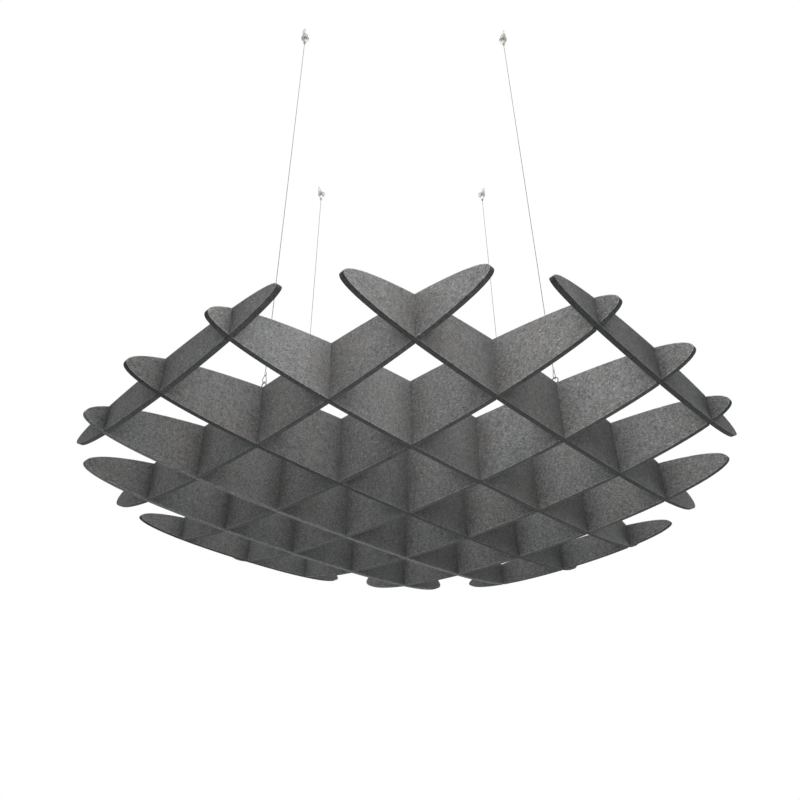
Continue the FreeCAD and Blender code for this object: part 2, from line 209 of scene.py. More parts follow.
class NodeGroups:
    """The shared effects, each built once as a node group."""

    def __init__(self) -> None:
        """Build the groups."""
        self.felt = self._felt_fibres()
        self.metal = self._metal_surface()
        self.strands = self._strand_lay()

    @staticmethod
    def _new(name: str, inputs: dict[str, object], outputs: Sequence[str]) -> tuple[
            Graph, Sequence[Socket], Sequence[Socket]]:
        """Make an empty group with named sockets.

        Args:
            name: The group's name.
            inputs: Name and default of each input: a number, a vector, or a colour with its alpha.
            outputs: Names of the outputs, of which Color is a colour and the others are numbers.

        Returns:
            The group's graph, what it is given and what it gives.
        """
        kinds = {1: "NodeSocketFloat", 3: "NodeSocketVector", 4: "NodeSocketColor"}
        g = Graph(bpy.data.node_groups.new(name, "ShaderNodeTree"))
        for label, default in inputs.items():
            kind = kinds[len(default) if isinstance(default, tuple) else 1]
            g.tree.interface.new_socket(label, in_out="INPUT", socket_type=kind).default_value = default
        for label in outputs:
            kind = kinds[4 if label == "Color" else 1]
            g.tree.interface.new_socket(label, in_out="OUTPUT", socket_type=kind)
        return g, g.add("NodeGroupInput").outputs, g.add("NodeGroupOutput").inputs

    def _felt_fibres(self) -> NodeTree:
        """Build the heathered fibres of pressed felt.

        Returns:
            The group, with colour, roughness and height.
        """
        g, given, gives = self._new(
            "felt_fibres",
            {"Ground": (0.1, 0.1, 0.1, 1.0), "Pale Fibre": (0.4, 0.4, 0.4, 1.0),
             "Dark Fibre": (0.02, 0.02, 0.02, 1.0), "Warm Tint": (1.0, 0.9, 0.8, 1.0),
             "Cool Tint": (0.9, 1.0, 1.1, 1.0), "Clump Scale": 100.0, "Fibre Scale": 400.0,
             "Cloud Scale": 6.0, "Contrast": 1.0, "Mottle": 0.3},
            ("Color", "Roughness", "Height"))
        bend = (0.006, 0.006, 0.006)
        lays = ((0.6, 0.2, 0.9), (-0.5, 0.8, 0.3), (0.1, -0.9, -0.6))
        stretch = (1.0, 0.35, 1.0)
        pale_span, dark_span, tint_span = (0.58, 0.80), (0.44, 0.24), (0.38, 0.62)
        pale_share, dark_share, lump_gain = 0.75, 0.7, 1.3
        cloud_share, fine_share, finer = 0.6, 0.4, 6.0
        dense, loose, smoothest, roughest = 0.3, 0.7, 0.86, 0.98
        clump_rise, fibre_rise, dark_dip = 0.7, 0.5, 0.3
        place, contrast, clumps = g.place(), given["Contrast"], given["Clump Scale"]
        drift = g.add("ShaderNodeTexNoise", Vector=place, Scale=clumps, Detail=1.0).outputs["Color"]
        bent = g.add("ShaderNodeVectorMath", {"operation": "MULTIPLY_ADD"}, _0=drift, _1=bend,
                     _2=place).outputs[0]
        clump = g.noise(bent, clumps, detail=3.0, roughness=0.62, distortion=0.4)
        streaks = []
        for turn in lays:
            laid = g.add("ShaderNodeMapping", Vector=bent, Rotation=turn, Scale=stretch).outputs[0]
            streaks.append(g.noise(laid, given["Fibre Scale"], detail=2.0, roughness=0.55, distortion=0.6))
        fibre = g.math("MAXIMUM", streaks[0], g.math("MAXIMUM", streaks[1], streaks[2]))
        sunk = g.math("MINIMUM", streaks[0], g.math("MINIMUM", streaks[1], streaks[2]))
        pale = g.math("MULTIPLY", g.span(fibre, *pale_span), contrast)
        dark = g.math("MULTIPLY", g.span(sunk, *dark_span), contrast)
        lump = g.math("MULTIPLY_ADD", g.math("SUBTRACT", clump, MID_NOISE),
                      g.math("MULTIPLY", contrast, lump_gain), 1.0)
        cloud = g.noise(place, given["Cloud Scale"], detail=2.0)
        cloud_fine = g.noise(place, g.math("MULTIPLY", given["Cloud Scale"], finer), detail=2.0)
        clouds = g.math("ADD", g.math("MULTIPLY", cloud, cloud_share),
                        g.math("MULTIPLY", cloud_fine, fine_share))
        tint = g.blend(g.span(clouds, *tint_span), given["Warm Tint"], given["Cool Tint"])
        mottle = g.math("MULTIPLY_ADD", g.math("SUBTRACT", cloud_fine, MID_NOISE), given["Mottle"], lump)
        colour = g.scaled(g.blend(1.0, given["Ground"], tint, "MULTIPLY"), mottle)
        colour = g.blend(g.math("MULTIPLY", pale, pale_share), colour, given["Pale Fibre"])
        colour = g.blend(g.math("MULTIPLY", dark, dark_share), colour, given["Dark Fibre"])
        g.feed(gives["Color"], colour)
        g.feed(gives["Roughness"], g.span(clump, dense, loose, roughest, smoothest))
        raised = g.math("ADD", g.math("MULTIPLY", clump, clump_rise), g.math("MULTIPLY", fibre, fibre_rise))
        g.feed(gives["Height"], g.math("SUBTRACT", raised, g.math("MULTIPLY", dark, dark_dip)))
        return g.tree

    def _metal_surface(self) -> NodeTree:
        """Build turned or drawn metal with fine lines, dulled patches and small pits.

        Returns:
            The group, with colour, roughness and height.
        """
        g, given, gives = self._new(
            "metal_surface",
            {"Metal": (0.6, 0.6, 0.6, 1.0), "Dulled": (0.4, 0.4, 0.4, 1.0), "Base Roughness": 0.3,
             "Line Scale": (200.0, 200.0, 6000.0), "Patch Scale": 120.0},
            ("Color", "Roughness", "Height"))
        patch_span, pit_span, finer = (0.42, 0.66), (0.30, 0.36), 14.0
        patch_rough, line_rough, smoothest, roughest = 0.16, 0.14, 0.08, 0.9
        line_rise, pit_rise = 0.6, 0.4
        place = g.place()
        drawn = g.add("ShaderNodeVectorMath", {"operation": "MULTIPLY"}, _0=place,
                      _1=given["Line Scale"]).outputs[0]
        patches = given["Patch Scale"]
        lines = g.noise(drawn, 1.0, detail=3.0, roughness=0.6)
        patch = g.span(g.noise(place, patches, detail=4.0, roughness=0.6, distortion=0.3), *patch_span)
        pits = g.span(g.noise(place, g.math("MULTIPLY", patches, finer), detail=2.0), *pit_span)
        g.feed(gives["Color"], g.blend(patch, given["Metal"], given["Dulled"]))
        rough = g.math("ADD", given["Base Roughness"], g.math("MULTIPLY", patch, patch_rough))
        rough = g.math("ADD", rough, g.math("MULTIPLY", g.math("SUBTRACT", lines, MID_NOISE), line_rough))
        g.feed(gives["Roughness"], g.math("MINIMUM", g.math("MAXIMUM", rough, smoothest), roughest))
        g.feed(gives["Height"],
               g.math("ADD", g.math("MULTIPLY", lines, line_rise), g.math("MULTIPLY", pits, pit_rise)))
        return g.tree

    def _strand_lay(self) -> NodeTree:
        """Build the lay of the strands round a wire rope that hangs along its own Z axis.

        Returns:
            The group, with the groove mask and the height.
        """
        g, given, gives = self._new(
            "strand_lay", {"Strands": 6.0, "Lay Length": 0.011}, ("Groove", "Height"))
        shallow, deep = 0.34, 0.05
        axes = g.add("ShaderNodeSeparateXYZ", _0=g.place()).outputs
        angle = g.math("ARCTAN2", axes["Y"], axes["X"])
        rise = g.math("MULTIPLY", g.math("DIVIDE", axes["Z"], given["Lay Length"]), FULL_TURN)
        phase = g.math("MULTIPLY", g.math("ADD", angle, rise), g.math("MULTIPLY", given["Strands"], 0.5))
        height = g.math("ABSOLUTE", g.math("SINE", phase))
        g.feed(gives["Height"], height)
        g.feed(gives["Groove"], g.span(height, shallow, deep))
        return g.tree


# Finishes


def opaque(colour: Colour) -> tuple[float, float, float, float]:
    """Return a colour with full alpha."""
    return (*colour, 1.0)


@dataclass(frozen=True)
class FeltFinish:
    """Heathered charcoal felt, needled and pressed into board."""

    # Painted light and shade: the felt's colours are scaled by this tone.
    painted_tone: PaintedTone
    ground: Colour = (0.178, 0.178, 0.176)
    pale_fibre: Colour = (0.52, 0.51, 0.49)
    dark_fibre: Colour = (0.035, 0.036, 0.038)
    warm: Colour = (1.03, 1.0, 0.97)
    cool: Colour = (0.98, 1.0, 1.015)
    clump_scale: float = 140.0
    fibre_scale: float = 520.0
    cloud_scale: float = 7.0
    contrast: float = 1.3
    mottle: float = 0.45
    # Painted shade: how dark the cut edges are made, standing in for the shade on edges that face down.
    painted_edge_shade: float = 0.22
    # Painted highlight: how much lighter the line along the rounded rims is made.
    painted_rim_highlight: float = 1.6
    gloss: float = 0.12
    sheen: float = 0.18
    sheen_roughness: float = 0.55
    sheen_tint: Colour = (0.75, 0.76, 0.78)
    bump: float = 0.55
    nap: float = 0.0016
    # Painted shade: an ambient occlusion node darkens the felt's colour in corners and where blades cross.
    corner_shade_samples: int = 12
    corner_shade_reach: float = 0.08
    corner_shade_depth: float = 0.85

    def with_painted_tone(self, colour: Colour) -> tuple[float, float, float, float]:
        """Return a fibre colour lightened or darkened by this blade's painted tone."""
        return opaque(tuple(part * self.painted_tone.value for part in colour))

    def material(self, groups: NodeGroups) -> Material:
        """Build the felt's material.

        Args:
            groups: The shared node groups.

        Returns:
            The material.
        """
        mat, g, shader = new_material("felt_" + self.painted_tone.name.lower())
        fibres = g.add("ShaderNodeGroup", {"node_tree": groups.felt}, Ground=self.with_painted_tone(self.ground),
                       Pale_Fibre=self.with_painted_tone(self.pale_fibre), Dark_Fibre=self.with_painted_tone(self.dark_fibre),
                       Warm_Tint=opaque(self.warm), Cool_Tint=opaque(self.cool),
                       Clump_Scale=self.clump_scale, Fibre_Scale=self.fibre_scale,
                       Cloud_Scale=self.cloud_scale, Contrast=self.contrast, Mottle=self.mottle).outputs
        # Painted shade: the cut edges are darkened, standing in for the shade on edges that face down.
        cut = g.add("ShaderNodeAttribute", {"attribute_name": "edge_shade_mask"}).outputs["Fac"]
        # Painted highlight: a pale line along the rounded rims, where the face meets the cut edge.
        rim = g.add("ShaderNodeAttribute", {"attribute_name": "rim_highlight_mask"}).outputs["Fac"]
        edge_shade_and_highlight = g.math("MULTIPLY", g.span(cut, 0.0, 1.0, 1.0, self.painted_edge_shade),
                       g.span(rim, 0.0, 1.0, 1.0, self.painted_rim_highlight))
        # Painted shade: the colour is darkened in corners and where blades cross.
        painted_corner_shade = g.add("ShaderNodeAmbientOcclusion", {"samples": self.corner_shade_samples},
                      Distance=self.corner_shade_reach).outputs["AO"]
        colour = g.scaled(g.scaled(fibres["Color"], edge_shade_and_highlight), g.math("POWER", painted_corner_shade, self.corner_shade_depth))
        relief = g.add("ShaderNodeBump", Strength=self.bump, Distance=self.nap,
                       Height=fibres["Height"]).outputs[0]
        for label, value in (("Base Color", colour), ("Roughness", fibres["Roughness"]), ("Normal", relief),
                             ("Specular IOR Level", self.gloss), ("Sheen Weight", self.sheen),
                             ("Sheen Roughness", self.sheen_roughness),
                             ("Sheen Tint", opaque(self.sheen_tint))):
            g.feed(shader.inputs[label], value)
        return mat


@dataclass(frozen=True)
class MetalFinish:
    """One metal, with its colour, gloss and the direction of its fine lines."""

    name: str
    metal: Colour
    dulled: Colour
    roughness: float
    line_scale: Point3
    patch_scale: float
    relief: float
    strands: int = 0
    bump: float = 0.6
    # Painted shade: the grooves between the rope's strands are darkened.
    groove_shade_colour: Colour = (0.05, 0.05, 0.05)
    groove_shade_share: float = 0.8
    grain_share: float = 0.1

    def material(self, groups: NodeGroups) -> Material:
        """Build the metal's material.

        Args:
            groups: The shared node groups.

        Returns:
            The material.
        """
        mat, g, shader = new_material(self.name)
        surface = g.add("ShaderNodeGroup", {"node_tree": groups.metal}, Metal=opaque(self.metal),
                        Dulled=opaque(self.dulled), Base_Roughness=self.roughness,
                        Line_Scale=self.line_scale, Patch_Scale=self.patch_scale).outputs
        colour, height = surface["Color"], surface["Height"]
        if self.strands:
            lay = g.add("ShaderNodeGroup", {"node_tree": groups.strands},
                        Strands=float(self.strands)).outputs
            # Painted shade in the grooves between the strands.
            colour = g.blend(g.math("MULTIPLY", lay["Groove"], self.groove_shade_share), colour,
                             opaque(self.groove_shade_colour))
            height = g.math("ADD", lay["Height"], g.math("MULTIPLY", height, self.grain_share))
        relief = g.add("ShaderNodeBump", Strength=self.bump, Distance=self.relief, Height=height).outputs[0]
        for label, value in (("Base Color", colour), ("Roughness", surface["Roughness"]), ("Normal", relief),
                             ("Metallic", 1.0)):
            g.feed(shader.inputs[label], value)
        return mat


def new_material(name: str) -> tuple[Material, Graph, Node]:
    """Make a material that holds one Principled shader.

    Args:
        name: The material's name.

    Returns:
        The material, its graph and the shader.
    """
    mat = bpy.data.materials.new(name)
    g = emptied(mat)
    shader = g.add("ShaderNodeBsdfPrincipled")
    g.add("ShaderNodeOutputMaterial", Surface=shader.outputs[0])
    return mat, g, shader


class Finishes:
    """Every finish of the baffle, built once."""

    def __init__(self) -> None:
        """Build the node groups and the materials."""
        groups = NodeGroups()
        # Lit, middle and shaded copies of the felt: painted light and shade.
        self.felt = {painted_tone: FeltFinish(painted_tone).material(groups) for painted_tone in PaintedTone}
        self.nickel = MetalFinish(
            "nickel_satin", metal=(0.50, 0.49, 0.47), dulled=(0.44, 0.43, 0.415), roughness=0.27,
            line_scale=(60.0, 60.0, 3800.0), patch_scale=60.0, relief=0.00006).material(groups)
        self.turned = MetalFinish(
            "nickel_turned", metal=(0.47, 0.465, 0.45), dulled=(0.40, 0.395, 0.385), roughness=0.24,
            line_scale=(60.0, 60.0, 4600.0), patch_scale=80.0, relief=0.00005).material(groups)
        self.spring = MetalFinish(
            "spring_wire", metal=(0.44,) * 3, dulled=(0.28,) * 3, roughness=0.34,
            line_scale=(900.0,) * 3, patch_scale=130.0, relief=0.00003).material(groups)
        self.balls = MetalFinish(
            "polished_balls", metal=(0.70,) * 3, dulled=(0.62,) * 3, roughness=0.10,
            line_scale=(700.0,) * 3, patch_scale=200.0, relief=0.00001).material(groups)
        self.rope = MetalFinish(
            "wire_rope", metal=(0.075,) * 3, dulled=(0.05,) * 3, roughness=0.5,
            line_scale=(900.0,) * 3, patch_scale=300.0, relief=0.00022, strands=6).material(groups)
        self.ferrule = MetalFinish(
            "crimped_aluminium", metal=(0.42, 0.42, 0.43), dulled=(0.30, 0.30, 0.31), roughness=0.38,
            line_scale=(1500.0, 1500.0, 700.0), patch_scale=400.0, relief=0.00006).material(groups)
        self.zinc = MetalFinish(
            "zinc_plate", metal=(0.26, 0.265, 0.275), dulled=(0.17, 0.175, 0.18), roughness=0.33,
            line_scale=(1200.0,) * 3, patch_scale=260.0, relief=0.00004).material(groups)


# Mesh making


def add_object(name: str, data: ID) -> Object:
    """Put an object into the scene.

    Args:
        name: Its name.
        data: The mesh, curve, lamp or camera that it shows.

    Returns:
        The object.
    """
    obj = bpy.data.objects.new(name, data)
    bpy.context.scene.collection.objects.link(obj)
    return obj


def mesh_object(name: str, verts: Sequence[Sequence[float]], faces: Sequence[Sequence[int]],
                material: Material) -> Object:
    """Make a smooth mesh object in the scene.

    Args:
        name: The piece's name.
        verts: Points in the row frame.
        faces: Faces as lists of point numbers.
        material: The finish.

    Returns:
        The object.
    """
    mesh = bpy.data.meshes.new(name)
    mesh.from_pydata([tuple(v) for v in verts], [], faces)
    work = bmesh.new()
    work.from_mesh(mesh)
    bmesh.ops.recalc_face_normals(work, faces=work.faces)
    for face in work.faces:
        face.smooth = True
    work.to_mesh(mesh)
    work.free()
    mesh.materials.append(material)
    return add_object(name, mesh)


def ring_faces(rings: int, around: int, closed: bool = False) -> list[tuple[int, ...]]:
    """List the faces of rings of points that lie one after another.

    Args:
        rings: Number of rings.
        around: Points in a ring.
        closed: Whether the last ring meets the first. If not, the last two faces close both ends.

    Returns:
        The faces.
    """
    faces: list[tuple[int, ...]] = []
    for ring in range(rings if closed else rings - 1):
        here, there = ring * around, (ring + 1) % rings * around
        for k in range(around):
            after = (k + 1) % around
            faces.append((here + k, here + after, there + after, there + k))
    if not closed:
        last = (rings - 1) * around
        faces += [tuple(range(around)), tuple(range(last, last + around))]
    return faces


def tube(name: str, rings: Sequence[tuple[Vector, Vector, Vector]], around: int,
         material: Material) -> Object:
    """Make a bent round bar with flat ends.

    Args:
        name: The piece's name.
        rings: Centre of each ring, and two radii at right angles.
        around: Points in a ring.
        material: The finish.

    Returns:
        The object.
    """
    turns = [FULL_TURN * k / around for k in range(around)]
    verts = [centre + out * math.cos(turn) + up * math.sin(turn)
             for centre, out, up in rings for turn in turns]
    return mesh_object(name, verts, ring_faces(len(rings), around), material)


def crease(obj: Object, degrees: float = 35.0) -> None:
    """Keep edges sharper than an angle crisp in the shading.

    Args:
        obj: The mesh object.
        degrees: The angle between two faces.
    """
    work = bmesh.new()
    work.from_mesh(obj.data)
    for edge in work.edges:
        edge.smooth = len(edge.link_faces) < 2 or edge.calc_face_angle(0.0) < math.radians(degrees)
    work.to_mesh(obj.data)
    work.free()


@dataclass(frozen=True)
class Turned:
    """A closed profile that is swept once round an upright axis."""

    profile: tuple[Point2, ...]
    segments: int = 64
    kind: Turning = Turning.PLAIN
    low: float = 0.0
    high: float = 0.0
    count: int = 30
    depth: float = 0.0003
    lead: float = 0.0014

    def radius(self, radius: float, height: float, angle: float) -> float:
        """Return the radius at one point of the surface.

        Args:
            radius: Radius of the profile.
            height: Height of the profile.
            angle: Angle round the axis.

        Returns:
            The radius with flutes or thread cut in.
        """
        if self.kind is Turning.PLAIN or not self.low <= height <= self.high:
            return radius
        if self.kind is Turning.FLUTED:
            return radius - self.depth * abs(math.sin(angle * self.count / 2.0)) ** 0.5
        turn = (angle / FULL_TURN + height / self.lead) % 1.0
        return radius - self.depth * (1.0 - abs(2.0 * turn - 1.0))

    def build(self, name: str, place: Point3, material: Material) -> Object:
        """Build the turned piece.

        Args:
            name: The piece's name.
            place: The axis along X and Y, and the height that the profile counts from.
            material: The finish.

        Returns:
            The object.
        """
        x, y, z = place
        verts = []
        for r, h in self.profile:
            for k in range(self.segments):
                angle = FULL_TURN * k / self.segments
                reach = self.radius(r, h, angle)
                verts.append((x + reach * math.cos(angle), y + reach * math.sin(angle), z + h))
        obj = mesh_object(name, verts, ring_faces(len(self.profile), self.segments, True), material)
        crease(obj)
        return obj


# The lattice


@dataclass(frozen=True)
class LensForm:
    """The lens that the blades fill: a belly and a crown over a near-round plan, on a shallow saddle."""

    cell: float = 0.240
    outermost: int = 3
    overhang: float = 0.084
    plan_power: float = 2.12
    belly: float = 0.088
    crown: float = 0.098
    saddle: float = 0.019
    tip_plane: float = -1.560
    board: float = 0.012
    slot_play: float = 0.0003

    @property
    def radius(self) -> float:
        """Return the reach of the plan along X and Y."""
        return self.outermost * self.cell + self.overhang

    def half_length(self, offset: float) -> float:
        """Return half the length of a blade that stands offset from the centre."""
        power = self.plan_power
        return (self.radius ** power - abs(offset) ** power) ** (1.0 / power)

    def lift(self, x: float, y: float) -> float:
        """Return the height of the tip surface at a point of the plan."""
        return self.tip_plane + self.saddle * (y * y - x * x) / self.radius ** 2

    def fullness(self, x: float, y: float) -> float:
        """Return how full the lens is at a point of the plan, from 1 at the centre to 0 at the rim."""
        power = self.plan_power
        return math.sqrt(max(0.0, 1.0 - (abs(x) ** power + abs(y) ** power) / self.radius ** power))

    def top(self, x: float, y: float) -> float:
        """Return the height of the top edges at a point of the plan."""
        return self.lift(x, y) + self.crown * self.fullness(x, y)

    def bottom(self, x: float, y: float) -> float:
        """Return the height of the bottom edges at a point of the plan."""
        return self.lift(x, y) - self.belly * self.fullness(x, y)

    def lap(self, x: float, y: float) -> float:
        """Return the height where the two slots of a crossing meet."""
        return self.lift(x, y) + (self.crown - self.belly) / 2.0 * self.fullness(x, y)


@dataclass(frozen=True)
class FeltBlade:
    """One upright felt board with a curved outline, and a slot at every crossing."""

    form: LensForm
    family: Family
    number: int
    rounding: float = 0.0010
    rounding_rings: int = 4
    rim_width: float = 0.0026
    guard_share: float = 1.25
    sharpest_corner: float = 0.35
    spans: int = 150

    @property
    def name(self) -> str:
        """Return the name of the CAD node that the blade stands for."""
        return "blade_%s%d" % (self.family.value, self.number)

    @property
    def offset(self) -> float:
        """Return how far the blade stands from the centre."""
        return (self.number - 1 - self.form.outermost) * self.form.cell

    @property
    def is_a(self) -> bool:
        """Return whether the blade runs along X and is slotted from the top."""
        return self.family is Family.A

    @property
    def painted_tone(self) -> PaintedTone:
        """Find the painted tone of the blade's felt, lighter where the blade is lit and darker where it is
        shaded.

        Returns:
            The painted tone.
        """
        # The numbers under pale get lit copies of the felt, those under deep shaded copies: painted light
        # and shade.
        pale, deep = ((3,), (4, 5, 6)) if self.is_a else ((4, 5, 6), (1, 2, 3, 7))
        if self.number in pale:
            return PaintedTone.PALE
        return PaintedTone.DEEP if self.number in deep else PaintedTone.MIDDLE

    @property
    def edge_shade_strength(self) -> float:
        """Find how strongly shade is painted on the blade's cut edges, set for each blade by the light that
        reaches them.

        Returns:
            The strength, from 0 to 1.
        """
        # Painted shade: less on the B blades' edges, and none on A5 and A6, whose edges catch light.
        across, along, unshaded = 0.75, 1.0, 0.0
        if not self.is_a:
            return across
        return unshaded if self.number in (5, 6) else along

    def plan(self, along: float) -> Point2:
        """Return the point of the plan at a distance along the blade."""
        return (along, self.offset) if self.is_a else (self.offset, along)

    def height(self, above: bool, along: float) -> float:
        """Return the height of the top or bottom edge at a distance along the blade."""
        return (self.form.top if above else self.form.bottom)(*self.plan(along))

    def edge(self, above: bool) -> list[Point2]:
        """List points of the top or bottom edge from tip to tip, without slots.

        Args:
            above: Whether the edge is the top one.

        Returns:
            Distance along the blade and height of each point.
        """
        reach = self.form.half_length(self.offset)
        points = []
        for k in range(self.spans + 1):
            run = math.cos(math.pi * (1.0 - k / self.spans))
            along = math.copysign(reach * abs(run) ** (2.0 / self.form.plan_power), run)
            points.append((along, self.height(above, along)))
        return points

    def slots(self) -> Iterator[Point3]:
        """List the blade's slots.

        Returns:
            Start and end along the blade and height of the foot of each slot.
        """
        form = self.form
        reach = form.half_length(self.offset) + form.board / 2.0
        half = form.board / 2.0 + form.slot_play
        for cell in range(-form.outermost, form.outermost + 1):
            centre = cell * form.cell
            if abs(centre) < reach:
                foot = form.lap(*self.plan(centre))
                yield centre - half, centre + half, foot if self.is_a else foot + form.slot_play

    def outline(self) -> list[Point2]:
        """List the blade's closed outline with its slots, anticlockwise.

        Returns:
            Distance along the blade and height of each corner.
        """
        slotted: list[Point2] = []
        points = self.edge(self.is_a)
        guard = self.rim_width * self.guard_share
        for start, end, foot in self.slots():
            behind = slotted[-1][0] + guard if slotted else -math.inf
            slotted += [p for p in points if behind < p[0] < start - guard]
            slotted += [(start, self.height(self.is_a, start)), (start, foot), (end, foot),
                        (end, self.height(self.is_a, end))]
        slotted += [p for p in points if p[0] > slotted[-1][0] + guard]
        plain = self.edge(not self.is_a)[1:-1]
        return plain + slotted[::-1] if self.is_a else slotted + plain[::-1]

    def inset(self, points: Sequence[Point2], distance: float) -> list[Point2]:
        """Move every corner of a closed anticlockwise outline inwards.

        Args:
            points: The outline.
            distance: How far its sides move.

        Returns:
            The smaller outline, point for point.
        """
        moved = []
        for k, here in enumerate(points):
            before = Vector(here) - Vector(points[k - 1])
            after = Vector(points[(k + 1) % len(points)]) - Vector(here)
            first = Vector((-before.y, before.x)).normalized()
            second = Vector((-after.y, after.x)).normalized()
            normal = (first + second).normalized()
            reach = distance / max(self.sharpest_corner, normal.dot(first))
            moved.append(tuple(Vector(here) + normal * reach))
        return moved

    def build(self, finishes: Finishes) -> Object:
        """Build the blade as a board whose long rims are softly rounded.

        Args:
            finishes: The finishes.

        Returns:
            The object.
        """
        outline = self.outline()
        half = self.form.board / 2.0
        turns = [math.pi / 2.0 * k / (self.rounding_rings - 1) for k in range(self.rounding_rings)]
        rings = [(self.rounding * (1.0 - math.cos(turn)), half - self.rounding * (1.0 - math.sin(turn)))
                 for turn in turns]
        rings.append((self.rim_width, half))
        levels = [(inset, -depth) for inset, depth in rings[::-1]] + rings
        verts, cut, rim = [], [], []
        for inset, depth in levels:
            side = self.offset + depth
            for along, height in self.inset(outline, inset):
                verts.append((along, side, height) if self.is_a else (side, along, height))
                # Mask of the painted shade on the cut edges.
                cut.append(self.edge_shade_strength * max(0.0, 1.0 - inset / self.rounding))
                # Mask of the painted highlight along the rims.
                rim.append(min(inset / self.rounding, 1.0) if inset < self.rim_width else 0.0)
        faces = ring_faces(len(levels), len(outline))
        obj = mesh_object("felt_" + self.name, verts, faces, finishes.felt[self.painted_tone])
        for face in obj.data.polygons[len(faces) - 2:]:
            face.use_smooth = False
        crease(obj, degrees=40.0)
        for label, values in (("edge_shade_mask", cut), ("rim_highlight_mask", rim)):
            obj.data.attributes.new(label, "FLOAT", "POINT").data.foreach_set("value", values)
        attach(obj, "lattice")
        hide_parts(self.name)
        return obj


class FeltLattice:
    """The two families of felt blades."""

    def __init__(self, form: LensForm) -> None:
        """Make the list of blades that fill the lens."""
        numbers = range(1, 2 * form.outermost + 2)
        self.blades = [FeltBlade(form, family, number) for family in Family for number in numbers]

    def build(self, finishes: Finishes) -> None:
        """Build every blade.

        Args:
            finishes: The finishes.
        """
        for blade in self.blades:
            obj = blade.build(finishes)
            LOG.info("%s: %d points", obj.name, len(obj.data.vertices))


# The hangers


@dataclass(frozen=True)
class HangerSizes:
    """Sizes that the pieces of one hanger share."""

    reach: float = 0.480
    pivot: float = -0.0325
    tail_rise: float = 0.014
    wire_radius: float = 0.00075
    short_wire: float = 1.479
    long_wire: float = 1.4925
    strand_gap: float = 0.0004
    bar_gap: float = 0.0008
    loop_radius: float = 0.00475
    loop_height: float = 0.019
    ferrule_length: float = 0.009
    ferrule_radius: float = 0.0019
    wire_end: float = 0.0025
    eye_radius: float = 0.0085
    eye_bar: float = 0.0015
    plate_radius: float = 0.0055
    plate_thick: float = 0.0015
    plate_play: float = 0.0003
    shank_radius: float = 0.0020
    shank_length: float = 0.038
    cup_radius: float = 0.014
    cup_top: float = -0.004
    cup_foot: float = -0.038
    cup_room: float = 0.0122
    cup_floor: float = 0.003
    seat_radius: float = 0.0072
    ball_radius: float = 0.007
    neck_radius: float = 0.0038
    barrel_radius: float = 0.0055
    barrel_top: float = -0.041
    barrel_foot: float = -0.063
    chamber_top: float = -0.0435
    chamber_radius: float = 0.0032
    cone_top: float = -0.0515
    cone_foot: float = -0.0565
    cone_foot_radius: float = 0.0025
    stem_bore: float = 0.0020
    wire_bore: float = 0.0011
    stem_radius: float = 0.00185
    collar_radius: float = 0.00235
    collar_thick: float = 0.0006
    collar_gap: float = 0.00005
    spring_radius: float = 0.0021
    spring_wire: float = 0.00025
    spring_top: float = -0.0436
    spring_foot: float = -0.0538
    spring_turns: float = 6.0
    spring_end_turns: float = 0.9
    release_stroke: float = 0.002
    button_radius: float = 0.0040
    button_top: float = -0.0653
    button_foot: float = -0.0688

    @property
    def strand(self) -> float:
        """Return the distance between the two strands inside a ferrule."""
        return 2.0 * self.wire_radius + self.strand_gap


